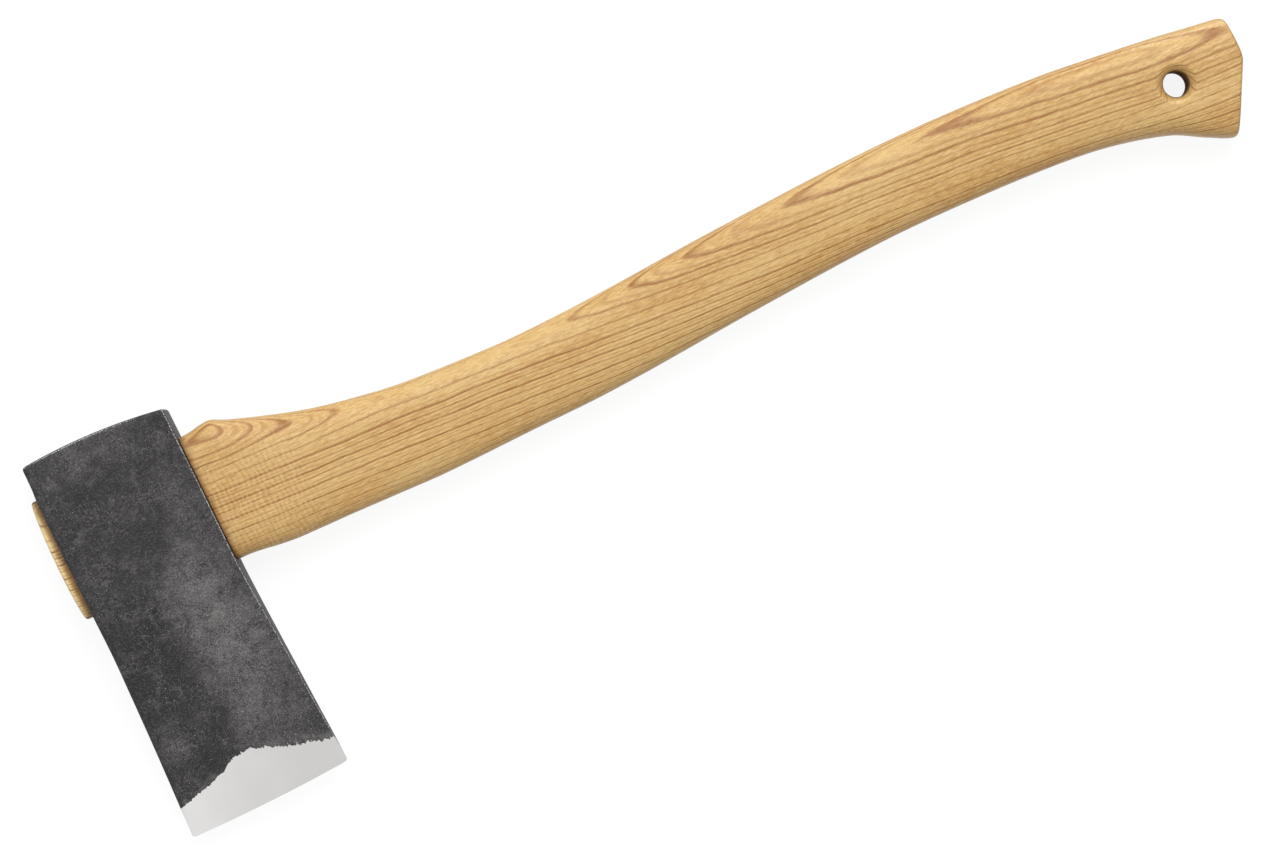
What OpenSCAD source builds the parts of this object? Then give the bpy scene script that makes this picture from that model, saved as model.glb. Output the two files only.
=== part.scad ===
// Carving hatchet: forged wedge-shaped head on a curved wooden haft.
// Built round the eye: X runs from the head to the knob, Y towards the poll,
// Z across the cheeks. The finished part lies on one cheek, with its origin
// at the middle of its footprint.

/* [Head] */
// Distance from the middle of the eye to the poll
poll_reach = 39.8; // [36:0.1:50]
// Distance from the middle of the eye to the cutting edge
blade_reach = 123.6; // [100:0.1:150]
// Width of the head at the poll and the eye
head_width = 61.5; // [50:0.5:75]
// Width of the head at the cutting edge
bit_width = 70; // [56:0.5:85]
// Thickness over the two flat cheeks
head_thickness = 30; // [28:0.5:38]
// Radius of the arched poll
poll_radius = 300; // [150:10:600]
// Slant of the poll towards the haft, in degrees
poll_slant = 2.7; // [0:0.1:6]
// Chamfer along the long edges of the head
head_chamfer = 1.2; // [0.5:0.1:2.5]

/* [Blade] */
// Distance from the middle of the eye to where the cheeks start to taper
taper_start = 24; // [18:1:28]
// Height of the ground bevel at the middle of the blade
bevel_height = 24; // [16:1:32]
// Angle of each bevel to the middle of the blade, in degrees
bevel_angle = 11; // [8:0.5:14]
// How far the sides of the blade fall away from its middle ridge
blade_crown = 1.7; // [0:0.1:2.4]
// Radius of the curved cutting edge
bit_radius = 770; // [300:10:1500]
// Slant of the cutting edge towards the haft, in degrees
bit_slant = 0.65; // [0:0.05:3]

/* [Eye] */
// Length of the eye where the haft comes out, along the blade
eye_top_length = 51; // [44:0.5:60]
// Width of the eye where the haft comes out
eye_top_width = 21.5; // [18:0.5:24]
// Length of the eye on the haft side
eye_bottom_length = 46; // [40:0.5:54]
// Width of the eye on the haft side
eye_bottom_width = 18; // [15:0.5:22]
// Gap left all round between the haft and the eye
eye_clearance = 0.05; // [0.02:0.01:0.2]

/* [Haft] */
// Length of the haft from the head to the end of the knob
haft_reach = 450; // [300:5:600]
// How far the haft stands proud of the top of the eye
tenon_proud = 5.6; // [2:0.1:12]
// Depth of the haft at the shoulder, measured along the blade
shoulder_depth = 57; // [52:0.5:70]
// Thickness of the haft at the shoulder
shoulder_thickness = 24; // [22:0.5:30]
// Depth of the haft at the grip
grip_depth = 36; // [28:0.5:44]
// Thickness of the haft at the grip
grip_thickness = 22; // [18:0.5:28]
// Depth of the haft at the knob
knob_depth = 48.6; // [40:0.2:62]
// Thickness of the haft at the knob
knob_thickness = 26; // [21:0.5:30]

/* [Hanging hole] */
// Diameter of the hole for hanging the hatchet up
hang_hole_d = 10.5; // [6:0.5:14]
// Distance from the end of the knob to the middle of the hole
hang_hole_inset = 31; // [26:0.5:42]
// Height of the hole above the middle of the knob
hang_hole_rise = 1; // [-3:0.5:3]
// Depth of the countersink on each side of the hole
hang_hole_sink = 2.6; // [1:0.1:4]

/* [Wedges] */
// Depth of the saw kerf that the wooden wedge fills
wedge_depth = 45; // [30:1:55]
// Thickness of the wooden wedge at the end of the haft
wedge_head = 7; // [4:0.5:9]
// Thickness of the wooden wedge at its tip
wedge_tip = 2; // [1:0.5:3]
// Outer diameter of the steel ring wedge at the end of the haft
ring_d = 16; // [12:0.5:18]
// Wall of the ring wedge at the end of the haft
ring_wall = 1.8; // [1.2:0.1:2.4]
// Depth of the ring wedge
ring_depth = 20; // [12:1:28]
// Gap left all round each wedge
wedge_clearance = 0.05; // [0.02:0.01:0.15]

/* [Hidden] */

oval_points = 32;        // points round each section of the haft and the eye
rings_per_stretch = 3;   // sections between two stations of the haft
blade_rings = 16;        // sections of the blade below the shoulder of the haft
cheek_columns = 12;      // strips across each cheek
past = 5;                // how far a cut runs past what it cuts

side = head_width / 2;
cheek = head_thickness / 2;
tenon_end = -side - tenon_proud;
haft_end = side + haft_reach;
tenon_chamfer = 1.2;
tenon_squareness = 2.3;
taper_length = blade_reach - taper_start;
shoulder_middle = -4.1;  // middle line of the haft where it meets the head
flare_start = shoulder_depth / 2 - shoulder_middle;
bevel_top = bevel_height * tan(bevel_angle);
crown_squareness = 0.9;

// The lowest and highest places of the whole hatchet, for its origin
poll_top = poll_reach + poll_radius * (1 - cos(poll_slant));
bit_bottom = -blade_reach - bit_radius * (1 - cos(bit_slant));
footprint_middle = [(tenon_end + haft_end) / 2, (bit_bottom + poll_top) / 2];

// Taper of the blade: share of the way to the edge, share of the cheek's extra thickness
blade_profile = [
    [0, 1],
    [0.1, 0.9],
    [0.3, 0.54],
    [0.5, 0.25],
    [0.76, 0],
    [1, -0.1],
];

// The haft from the head to the knob:
// distance from the head, middle line, depth, thickness, squareness of the section
haft_stations = [
    [0, shoulder_middle, shoulder_depth - 2.2, shoulder_thickness, 4.6],
    [12, -3.8, shoulder_depth, shoulder_thickness, 4.4],
    [20, -5.8, shoulder_depth - 1.4, shoulder_thickness, 4],
    [50, -11.6, (shoulder_depth + grip_depth) / 2, (shoulder_thickness + grip_thickness) / 2, 3.2],
    [90, -16.5, grip_depth + 4.2, grip_thickness - 0.6, 2.7],
    [haft_reach * 0.29, -17.6, grip_depth + 1, grip_thickness - 0.5, 2.5],
    [haft_reach * 0.4, -16.7, grip_depth + 0.8, grip_thickness, 2.5],
    [haft_reach * 0.51, -14.1, grip_depth + 0.4, grip_thickness, 2.5],
    [haft_reach * 0.64, -12.1, grip_depth - 0.5, grip_thickness, 2.5],
    [haft_reach - 120, -12.8, grip_depth - 0.2, grip_thickness, 2.5],
    [haft_reach - 80, -15.4, grip_depth, (grip_thickness + knob_thickness) / 2, 2.6],
    [haft_reach - 60, -18.2, grip_depth + 0.8, knob_thickness - 1, 2.8],
    [haft_reach - 40, -22.4, (grip_depth * 2 + knob_depth) / 3, knob_thickness, 3],
    [haft_reach - 28, -26.6, (grip_depth + knob_depth * 3) / 4, knob_thickness, 3],
    [haft_reach - 18, -29.7, knob_depth, knob_thickness, 3],
    [haft_reach, -30.8, knob_depth - 2, knob_thickness - 0.6, 3],
];

// Slanted end of the knob: distance from the end of the haft, height beside the eye's middle
knob_end = [
    [30, -70],
    [17.5, -54.6],
    [10.8, -46.2],
    [4.8, -35.2],
    [1.2, -27],
    [0, -18],
    [0.3, -13],
    [1.6, -9.6],
    [4.4, -7.4],
    [16, 0],
];

// Signed power, which turns a circle into a squarer oval
function squared(v, power) = sign(v) * pow(abs(v), power);

// Slope of a column of a table at one of its rows
function slope(table, row, column) =
    let (low = max(row - 1, 0), high = min(row + 1, len(table) - 1))
    (table[high][column] - table[low][column]) / (table[high][0] - table[low][0]);

// Value of a column on the smooth curve through the rows of a table
function smooth(table, at, column, row = 0) =
    row < len(table) - 2 && at > table[row + 1][0]
    ? smooth(table, at, column, row + 1)
    : let (
        span = table[row + 1][0] - table[row][0],
        s = (at - table[row][0]) / span,
        near = table[row][column],
        far = table[row + 1][column],
        near_slope = slope(table, row, column) * span,
        far_slope = slope(table, row + 1, column) * span
    )
    near + s * near_slope
    + s * s * (3 * (far - near) - 2 * near_slope - far_slope)
    + s * s * s * (2 * (near - far) + near_slope + far_slope);

// Oval section across the haft at the distance x from the middle of the eye
function section(x, middle, depth, thickness, squareness) = [
    for (i = [0:oval_points - 1])
        let (angle = -360 * i / oval_points)
        [x,
         middle + depth / 2 * squared(cos(angle), 2 / squareness),
         thickness / 2 * squared(sin(angle), 2 / squareness)]
];

// Section of the eye at the distance x, made smaller all round by a gap
function eye_section(x, gap) =
    let (share = (x + side) / head_width)
    section(x, 0,
            eye_top_length + share * (eye_bottom_length - eye_top_length) - 2 * gap,
            eye_top_width + share * (eye_bottom_width - eye_top_width) - 2 * gap,
            tenon_squareness);

// Sections of the tenon: chamfered end, full size, and where it meets the shoulder
tenon_sections = [
    eye_section(tenon_end, eye_clearance + tenon_chamfer),
    eye_section(tenon_end + tenon_chamfer, eye_clearance),
    eye_section(side, eye_clearance),
];

// Section of the visible haft at a distance from the head
function haft_section(distance) =
    section(side + distance,
            smooth(haft_stations, distance, 1),
            smooth(haft_stations, distance, 2),
            smooth(haft_stations, distance, 3),
            smooth(haft_stations, distance, 4));

// Half of the head's thickness at its middle ridge, at a share of the taper
function blade_half(share) = bevel_top + (cheek - bevel_top) * smooth(blade_profile, share, 1);

// Section across the head at the height y, with a crown that grows towards the edge.
// The sides flare from below the shoulder of the haft, which sits flat against them.
function head_section(y) =
    let (
        share = max(0, (-taper_start - y) / taper_length),
        flare = max(0, (-flare_start - y) / (blade_reach - flare_start)),
        half_width = side + flare * (bit_width / 2 - side),
        flat = half_width - head_chamfer,
        fall = blade_crown * min(1, share * 1.6),
        rise = [
            for (i = [0:cheek_columns])
                let (u = 2 * i / cheek_columns - 1)
                [u * flat, blade_half(share) - fall * pow(abs(u), crown_squareness)]
        ],
        edge = rise[0][1] - head_chamfer
    )
    concat(
        [for (p = rise) [p[0], y, p[1]]],
        [[half_width, y, edge], [half_width, y, -edge]],
        [for (i = [cheek_columns:-1:0]) [rise[i][0], y, -rise[i][1]]],
        [[-half_width, y, -edge], [-half_width, y, edge]]
    );

// Closed skin over a list of sections that have the same number of points
module skin(sections) {
    count = len(sections[0]);
    last = len(sections) - 1;
    walls = [
        for (i = [0:last - 1], j = [0:count - 1])
            let (k = (j + 1) % count)
            [i * count + j, i * count + k, (i + 1) * count + k, (i + 1) * count + j]
    ];
    near_cap = [[for (j = [count - 1:-1:0]) j]];
    far_cap = [[for (j = [0:count - 1]) last * count + j]];
    polyhedron(
        points = [for (s = sections) each s],
        faces = concat(walls, near_cap, far_cap),
        convexity = 8
    );
}

// Moves the hatchet so that it lies on its cheek over the origin
module laid_down() {
    translate([-footprint_middle[0], -footprint_middle[1], cheek])
        children();
}

// Forging before the bevels are ground, a little longer than the finished head
module forged_blank() {
    blade_heights = [
        for (i = [0:blade_rings])
            -flare_start - (blade_reach + past - flare_start) * i / blade_rings
    ];
    cheek_heights = [poll_top + past, -taper_start, -(taper_start + flare_start) / 2];
    skin([for (y = concat(cheek_heights, blade_heights)) head_section(y)]);
}

// Everything inside the arched poll
module poll_arc() {
    translate([-poll_radius * sin(poll_slant), poll_reach - poll_radius * cos(poll_slant), 0])
        cylinder(h = head_thickness + 2 * past, r = poll_radius, center = true, $fn = 360);
}

// Everything inside the two bevels, which meet in the curved cutting edge
module bevel_disc() {
    run = head_thickness / tan(bevel_angle);
    translate([-bit_radius * sin(bit_slant), bit_radius * cos(bit_slant) - blade_reach, 0])
        rotate_extrude($fn = 720)
            polygon([
                [0, -head_thickness],
                [bit_radius - run, -head_thickness],
                [bit_radius, 0],
                [bit_radius - run, head_thickness],
                [0, head_thickness],
            ]);
}

// Room for the haft through the head
module eye_room() {
    skin([eye_section(-side - past, 0), eye_section(side + past, 0)]);
}

// Part of the haft inside the eye and proud of it
module tenon() {
    skin(tenon_sections);
}

// Haft before its cuts: tenon, shoulder, grip and knob in one skin
module haft_blank() {
    distances = [
        for (row = [0:len(haft_stations) - 2], i = [0:rings_per_stretch - 1])
            let (near = haft_stations[row][0], far = haft_stations[row + 1][0])
            near + (far - near) * i / rings_per_stretch
    ];
    skin(concat(
        tenon_sections,
        [for (distance = distances) haft_section(distance)],
        [haft_section(haft_reach)]
    ));
}

// What is sawn off the end of the knob
module knob_offcut() {
    linear_extrude(knob_thickness + 2 * past, center = true)
        polygon(concat(
            [for (p = knob_end) [haft_end - p[0], p[1]]],
            [[haft_end + past, knob_end[len(knob_end) - 1][1]], [haft_end + past, knob_end[0][1]]]
        ));
}

// Hole through the knob, countersunk on both sides
module hang_hole() {
    distance = haft_reach - hang_hole_inset;
    face = smooth(haft_stations, distance, 3) / 2;
    sink_start = face - hang_hole_sink;
    translate([side + distance, smooth(haft_stations, distance, 1) + hang_hole_rise, 0]) {
        cylinder(h = 2 * face + 2 * past, d = hang_hole_d, center = true, $fn = 96);
        for (up = [0, 1])
            mirror([0, 0, up])
                translate([0, 0, sink_start])
                    cylinder(h = hang_hole_sink + past, d1 = hang_hole_d,
                             d2 = hang_hole_d + 2 * (hang_hole_sink + past), $fn = 96);
    }
}

// Tapered plank in the middle plane of the tenon, wider and longer by a gap
module kerf(gap) {
    grow = (wedge_head - wedge_tip) / wedge_depth * past / 2;
    head_half = wedge_head / 2 + gap;
    tip_half = wedge_tip / 2 + gap;
    rotate([90, 0, 0])
        linear_extrude(2 * eye_top_length, center = true)
            polygon([
                [tenon_end - past, -head_half - grow],
                [tenon_end + wedge_depth + gap, -tip_half],
                [tenon_end + wedge_depth + gap, tip_half],
                [tenon_end - past, head_half + grow],
            ]);
}

// Tapered steel ring, thicker and deeper by a gap
module ring(gap, above = 0) {
    outer = ring_d / 2;
    tip_wall = ring_wall / 3;
    translate([tenon_end, 0, 0])
        rotate([0, 90, 0])
            rotate_extrude($fn = 96)
                polygon([
                    [outer - ring_wall - gap, -above],
                    [outer + gap, -above],
                    [outer + gap, 0],
                    [outer - (ring_wall - tip_wall) / 2 + gap, ring_depth + gap],
                    [outer - (ring_wall + tip_wall) / 2 - gap, ring_depth + gap],
                    [outer - ring_wall - gap, 0],
                ]);
}

module head() {
    color("#4a4948")
        laid_down()
            difference() {
                intersection() {
                    forged_blank();
                    poll_arc();
                    bevel_disc();
                }
                eye_room();
            }
}

module haft() {
    color("#d9b67c")
        laid_down()
            difference() {
                haft_blank();
                knob_offcut();
                hang_hole();
                kerf(wedge_clearance);
                ring(wedge_clearance, past);
            }
}

module wood_wedge() {
    color("#8d6238")
        laid_down()
            difference() {
                intersection() {
                    tenon();
                    kerf(0);
                }
                ring(wedge_clearance, past);
            }
}

module ring_wedge() {
    color("#8f9194")
        laid_down()
            ring(0);
}

head();
haft();
wood_wedge();
ring_wedge();
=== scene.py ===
import math

import bmesh
import bpy
import numpy as np
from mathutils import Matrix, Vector, noise


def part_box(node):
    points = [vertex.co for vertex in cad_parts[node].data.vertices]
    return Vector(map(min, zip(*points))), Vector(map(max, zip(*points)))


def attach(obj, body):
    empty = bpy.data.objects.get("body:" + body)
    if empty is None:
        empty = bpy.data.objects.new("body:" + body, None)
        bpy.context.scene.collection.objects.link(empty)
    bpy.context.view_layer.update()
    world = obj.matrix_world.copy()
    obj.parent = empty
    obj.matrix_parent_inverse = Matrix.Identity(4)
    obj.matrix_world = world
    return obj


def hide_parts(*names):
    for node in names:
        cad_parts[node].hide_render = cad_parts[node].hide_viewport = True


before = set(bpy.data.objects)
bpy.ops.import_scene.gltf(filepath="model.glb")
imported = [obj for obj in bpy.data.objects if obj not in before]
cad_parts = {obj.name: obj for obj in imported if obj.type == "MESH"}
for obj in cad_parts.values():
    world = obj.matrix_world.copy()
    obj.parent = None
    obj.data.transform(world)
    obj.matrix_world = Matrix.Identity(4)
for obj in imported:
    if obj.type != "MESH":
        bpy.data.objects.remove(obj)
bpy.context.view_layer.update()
print("frame loaded:", ", ".join(sorted(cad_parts)))

# Everything is shaped in millimetres round the middle of the eye:
# x runs to the knob, y to the poll, z out of the upper cheek
headLow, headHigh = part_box("head")
haftLow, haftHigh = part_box("haft")
ringLow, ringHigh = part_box("ring_wedge")
eyeCentre = Vector((
    (headLow.x + headHigh.x) / 2,
    (ringLow.y + ringHigh.y) / 2,
    (headLow.z + headHigh.z) / 2,
))
cheek = (headHigh.z - headLow.z) * 500      # half the head's thickness
headSide = 30.75                            # from the middle of the eye to the side of the head
quarter = np.radians([22.5, 45, 67.5, 90])  # steps of a rounded edge
tenonEnd = (haftLow.x - eyeCentre.x) * 1000
haftEnd = (haftHigh.x - eyeCentre.x) * 1000


# Small tools

def colour(red, green, blue):
    # 0 to 255 screen values to the linear ones that shaders take
    linear = []
    for value in (red, green, blue):
        value = value / 255
        linear.append(value / 12.92 if value <= 0.04045 else ((value + 0.055) / 1.055) ** 2.4)
    return (*linear, 1.0)


def alongRows(rows, at, column):
    # value of one column on the smooth curve through the rows of a table
    table = np.array(rows, float)
    places = table[:, 0]
    values = table[:, column]
    slopes = np.gradient(values)
    slopes[1:-1] = (values[2:] - values[:-2]) / (places[2:] - places[:-2])
    slopes[0] = (values[1] - values[0]) / (places[1] - places[0])
    slopes[-1] = (values[-1] - values[-2]) / (places[-1] - places[-2])
    at = np.clip(at, places[0], places[-1])
    row = np.clip(np.searchsorted(places, at, side="right") - 1, 0, len(places) - 2)
    span = places[row + 1] - places[row]
    s = (at - places[row]) / span
    rise = values[row] * (1 + 2 * s) * (1 - s) ** 2 + values[row + 1] * s * s * (3 - 2 * s)
    return rise + span * (slopes[row] * s * (1 - s) ** 2 + slopes[row + 1] * s * s * (s - 1))


def easeStep(low, high, value):
    s = np.clip((value - low) / (high - low), 0, 1)
    return s * s * (3 - 2 * s)


def lumps(x, y, z, size, offset=0.0):
    # soft unevenness of the given size in mm, from about -1 to 1
    x, y, z = np.broadcast_arrays(x, y, z)
    flat = [
        noise.noise(Vector((a / size + offset, b / size - offset, c / size)))
        for a, b, c in zip(x.ravel(), y.ravel(), z.ravel())
    ]
    return np.array(flat).reshape(x.shape)


def meshPiece(name, points, faces, sharpAngle=40):
    # object from points in mm round the eye
    placed = np.asarray(points, float) / 1000 + np.array(eyeCentre)
    mesh = bpy.data.meshes.new(name)
    mesh.from_pydata(placed.tolist(), [], faces)
    mesh.validate()
    tidy = bmesh.new()
    tidy.from_mesh(mesh)
    bmesh.ops.remove_doubles(tidy, verts=tidy.verts, dist=2e-7)
    bmesh.ops.dissolve_degenerate(tidy, edges=tidy.edges, dist=1e-8)
    bmesh.ops.recalc_face_normals(tidy, faces=tidy.faces)
    tidy.to_mesh(mesh)
    tidy.free()
    piece = addToScene(name, mesh)
    smoothOver(piece, sharpAngle)
    return piece


def smoothOver(piece, sharpAngle):
    mesh = piece.data
    mesh.polygons.foreach_set("use_smooth", [True] * len(mesh.polygons))
    mesh.set_sharp_from_angle(angle=math.radians(sharpAngle))


def loft(rings, closed=True):
    # points and faces of a skin over rings that all have the same number of points
    rings = [np.asarray(ring, float) for ring in rings]
    count = len(rings[0])
    points = np.concatenate(rings)
    faces = []
    for i in range(len(rings) - 1):
        for k in range(count):
            near = i * count + k
            after = i * count + (k + 1) % count
            faces.append((near, after, after + count, near + count))
    if closed:
        faces.append(tuple(range(count - 1, -1, -1)))
        faces.append(tuple(range((len(rings) - 1) * count, len(rings) * count)))
    return points, faces


def shapeWith(piece, tool, operation, sharpAngle=40):
    # boolean that is applied at once; the tool is removed
    change = piece.modifiers.new("cut", "BOOLEAN")
    change.operation = operation
    change.solver = "EXACT"
    change.object = tool
    depsgraph = bpy.context.evaluated_depsgraph_get()
    shaped = bpy.data.meshes.new_from_object(piece.evaluated_get(depsgraph))
    piece.modifiers.clear()
    old = piece.data
    piece.data = shaped
    bpy.data.meshes.remove(old)
    shaped.name = piece.name
    bpy.data.objects.remove(tool)
    smoothOver(piece, sharpAngle)


def dropSlivers(piece):
    # a cut can leave two slivers back to back on the same corners: both go, and the skin stays closed
    skin = bmesh.new()
    skin.from_mesh(piece.data)
    bmesh.ops.triangulate(skin, faces=[face for face in skin.faces if len(face.verts) > 4])
    sameCorners = {}
    for face in skin.faces:
        sameCorners.setdefault(frozenset(face.verts), []).append(face)
    spare = [face for twins in sameCorners.values() if len(twins) > 1 for face in twins]
    print(piece.name, "slivers dropped:", len(spare))
    bmesh.ops.delete(skin, geom=spare, context="FACES")
    skin.to_mesh(piece.data)
    skin.free()
    smoothOver(piece, 40)


def addToScene(name, data):
    added = bpy.data.objects.new(name, data)
    bpy.context.scene.collection.objects.link(added)
    return added


def markPoints(piece, name, values):
    # number stored at every vertex, for the material to read
    layer = piece.data.attributes.new(name, "FLOAT", "POINT")
    layer.data.foreach_set("value", np.asarray(values, np.float32))


def pointsOf(piece):
    # x, y and z of every vertex, in mm round the eye
    flat = np.zeros(len(piece.data.vertices) * 3, np.float32)
    piece.data.vertices.foreach_get("co", flat)
    return ((flat.reshape(-1, 3).astype(float) - np.array(eyeCentre)) * 1000).T


def ovalAngles(depth, thickness, squareness, count):
    # angles that space points evenly round a squared oval
    turn = np.linspace(0, 2 * math.pi, 1441)
    y, z = ovalPoint(turn, 0, depth, thickness, squareness)
    run = np.concatenate([[0], np.cumsum(np.hypot(np.diff(y), np.diff(z)))])
    return np.interp(np.arange(count) / count * run[-1], run, turn)


def ovalPoint(turn, middle, depth, thickness, squareness):
    cosine, sine = np.cos(turn), np.sin(turn)
    y = middle + depth / 2 * np.sign(cosine) * np.abs(cosine) ** (2 / squareness)
    z = thickness / 2 * np.sign(sine) * np.abs(sine) ** (2 / squareness)
    return y, z


# Shader tools

def addNode(tree, kind, inputs=None, **settings):
    node = tree.nodes.new(kind)
    for key, value in settings.items():
        setattr(node, key, value)
    for key, value in (inputs or {}).items():
        if isinstance(value, bpy.types.NodeSocket):
            tree.links.new(value, node.inputs[key])
        else:
            node.inputs[key].default_value = value
    return node


def calc(tree, operation, *values):
    return addNode(tree, "ShaderNodeMath", dict(enumerate(values)), operation=operation).outputs[0]


def times(tree, first, second):
    return calc(tree, "MULTIPLY", first, second)


def between(tree, value, low, high, toLow=0.0, toHigh=1.0, soft=True):
    node = addNode(
        tree, "ShaderNodeMapRange",
        {"Value": value, "From Min": low, "From Max": high, "To Min": toLow, "To Max": toHigh},
        interpolation_type="SMOOTHSTEP" if soft else "LINEAR",
    )
    return node.outputs["Result"]


def blend(tree, share, first, second):
    node = addNode(tree, "ShaderNodeMix", {0: share, 6: first, 7: second}, data_type="RGBA")
    return node.outputs[2]


def layered(tree, base, looks, *layers):
    # colours laid over one another: mask, strength, name of the colour
    for mask, strength, toward in layers:
        base = blend(tree, times(tree, mask, strength), base, looks[toward])
    return base


def cloud(tree, point, stretch, move=(0, 0, 0), turn=(0, 0, 0), size=1, detail=3, roughness=0.5, warp=0):
    # noise that is stretched, moved and turned by itself
    place = {"Vector": point, "Scale": stretch, "Location": move, "Rotation": turn}
    look = {"Scale": size, "Detail": detail, "Roughness": roughness, "Distortion": warp}
    look["Vector"] = addNode(tree, "ShaderNodeMapping", place).outputs["Vector"]
    return addNode(tree, "ShaderNodeTexNoise", look).outputs["Fac"]


def newGroup(name, inputs):
    # group that takes plain numbers
    tree = bpy.data.node_groups.new(name, "ShaderNodeTree")
    for label, value in inputs.items():
        socket = tree.interface.new_socket(name=label, in_out="INPUT", socket_type="NodeSocketFloat")
        socket.default_value = value
    return tree, tree.nodes.new("NodeGroupInput").outputs


def giveOut(tree, outputs):
    # the numbers that a group gives
    for label in outputs:
        tree.interface.new_socket(name=label, in_out="OUTPUT", socket_type="NodeSocketFloat")
    result = tree.nodes.new("NodeGroupOutput")
    for label, value in outputs.items():
        tree.links.new(value, result.inputs[label])
    return tree


def useGroup(tree, group, values=None):
    node = tree.nodes.new("ShaderNodeGroup")
    node.node_tree = group
    for label, value in (values or {}).items():
        node.inputs[label].default_value = value
    return node.outputs


def seenDirectly(tree):
    # 1 for what the camera sees, by itself or in a mirror or glass
    path = tree.nodes.new("ShaderNodeLightPath").outputs
    seen = calc(tree, "MAXIMUM", path["Is Camera Ray"], path["Is Glossy Ray"])
    return calc(tree, "MAXIMUM", seen, path["Is Transmission Ray"])


def marked(tree, name):
    # number that markPoints stored at the vertices
    return addNode(tree, "ShaderNodeAttribute", attribute_name=name).outputs["Fac"]


def newMaterial(name, preview):
    material = bpy.data.materials.new(name)
    material.use_nodes = True
    material.diffuse_color = preview
    tree = material.node_tree
    tree.nodes.clear()
    shader = tree.nodes.new("ShaderNodeBsdfPrincipled")
    output = tree.nodes.new("ShaderNodeOutputMaterial")
    tree.links.new(shader.outputs[0], output.inputs[0])
    return material, tree, shader


def plug(tree, shader, **values):
    for key, value in values.items():
        tree.links.new(value, shader.inputs[key.replace("_", " ")])


# Camera

view = {
    "aim": (-0.0242, -0.01194),  # point under the camera, metres
    "turn": -26,                 # how far the view is turned, degrees
    "distance": 2.5,             # above the middle of the hatchet, metres
    "lens": 175.8,
}

cameraData = bpy.data.cameras.new("camera")
cameraData.lens = view["lens"]
cameraData.sensor_width = 36
camera = addToScene("camera", cameraData)
camera.location = (*view["aim"], eyeCentre.z + view["distance"])
camera.rotation_euler = (0, 0, math.radians(view["turn"]))
bpy.context.scene.camera = camera
print("camera placed")

# Floor, world and lamps

studio = {
    "skyLight": 0.62,       # light from all round on the object
    "lampReach": 3.0,       # how far away the lamps hang, metres
    "keyPower": 46.0,       # big soft lamp beyond the top of the view, watts
    "keyHeight": 58,        # degrees above the floor
    "keySize": 2.0,
    "rimPower": 32.0,       # low lamp that lights the upper rims
    "rimHeight": 5,
    "rimSize": 0.45,
    "floorTone": 0.17,
    "floorGlow": 0.88,      # keeps the open floor white
}

upInView = Vector((math.sin(math.radians(-view["turn"])), math.cos(math.radians(view["turn"])), 0))

floorHalf, floorDrop = 6, -2e-4
floorCorners = [(a * floorHalf, b * floorHalf, floorDrop) for a, b in ((-1, -1), (1, -1), (1, 1), (-1, 1))]
floorMesh = bpy.data.meshes.new("floor")
floorMesh.from_pydata(floorCorners, [], [(0, 1, 2, 3)])
floor = addToScene("floor", floorMesh)

floorMaterial = bpy.data.materials.new("paleFloor")
floorMaterial.use_nodes = True
tree = floorMaterial.node_tree
shader = tree.nodes["Principled BSDF"]
shader.inputs["Base Color"].default_value = (*[studio["floorTone"]] * 3, 1)
shader.inputs["Roughness"].default_value = 0.9
shader.inputs["Specular IOR Level"].default_value = 0.1
shader.inputs["Emission Color"].default_value = (1, 1, 1, 1)
glow = times(tree, seenDirectly(tree), studio["floorGlow"])
tree.links.new(glow, shader.inputs["Emission Strength"])
floor.data.materials.append(floorMaterial)

world = bpy.data.worlds.new("studioWorld")
bpy.context.scene.world = world
world.use_nodes = True
tree = world.node_tree
tree.nodes.clear()
strength = between(tree, seenDirectly(tree), 0, 1, studio["skyLight"], 1.0, soft=False)
background = addNode(tree, "ShaderNodeBackground", {"Color": (1, 1, 1, 1), "Strength": strength})
output = tree.nodes.new("ShaderNodeOutputWorld")
tree.links.new(background.outputs[0], output.inputs[0])

for label in ("key", "rim"):
    lampData = bpy.data.lights.new(label + "Lamp", "AREA")
    lampData.energy = studio[label + "Power"]
    lampData.size = studio[label + "Size"]
    lamp = addToScene(label + "Lamp", lampData)
    rise = math.radians(studio[label + "Height"])
    lamp.location = (upInView * math.cos(rise) + Vector((0, 0, math.sin(rise)))) * studio["lampReach"]
    lamp.rotation_euler = (-Vector(lamp.location)).to_track_quat("-Z", "Y").to_euler()

bpy.context.scene.view_settings.view_transform = "Standard"
print("studio lit")

# Shader groups


def pointInMm(tree):
    # place on the object in mm round the eye
    place = tree.nodes.new("ShaderNodeTexCoord").outputs["Object"]
    moved = addNode(tree, "ShaderNodeVectorMath", {0: place, 1: tuple(eyeCentre)}, operation="SUBTRACT")
    inMm = {0: moved.outputs[0], "Scale": 1000.0}
    return addNode(tree, "ShaderNodeVectorMath", inMm, operation="SCALE").outputs[0]


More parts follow.
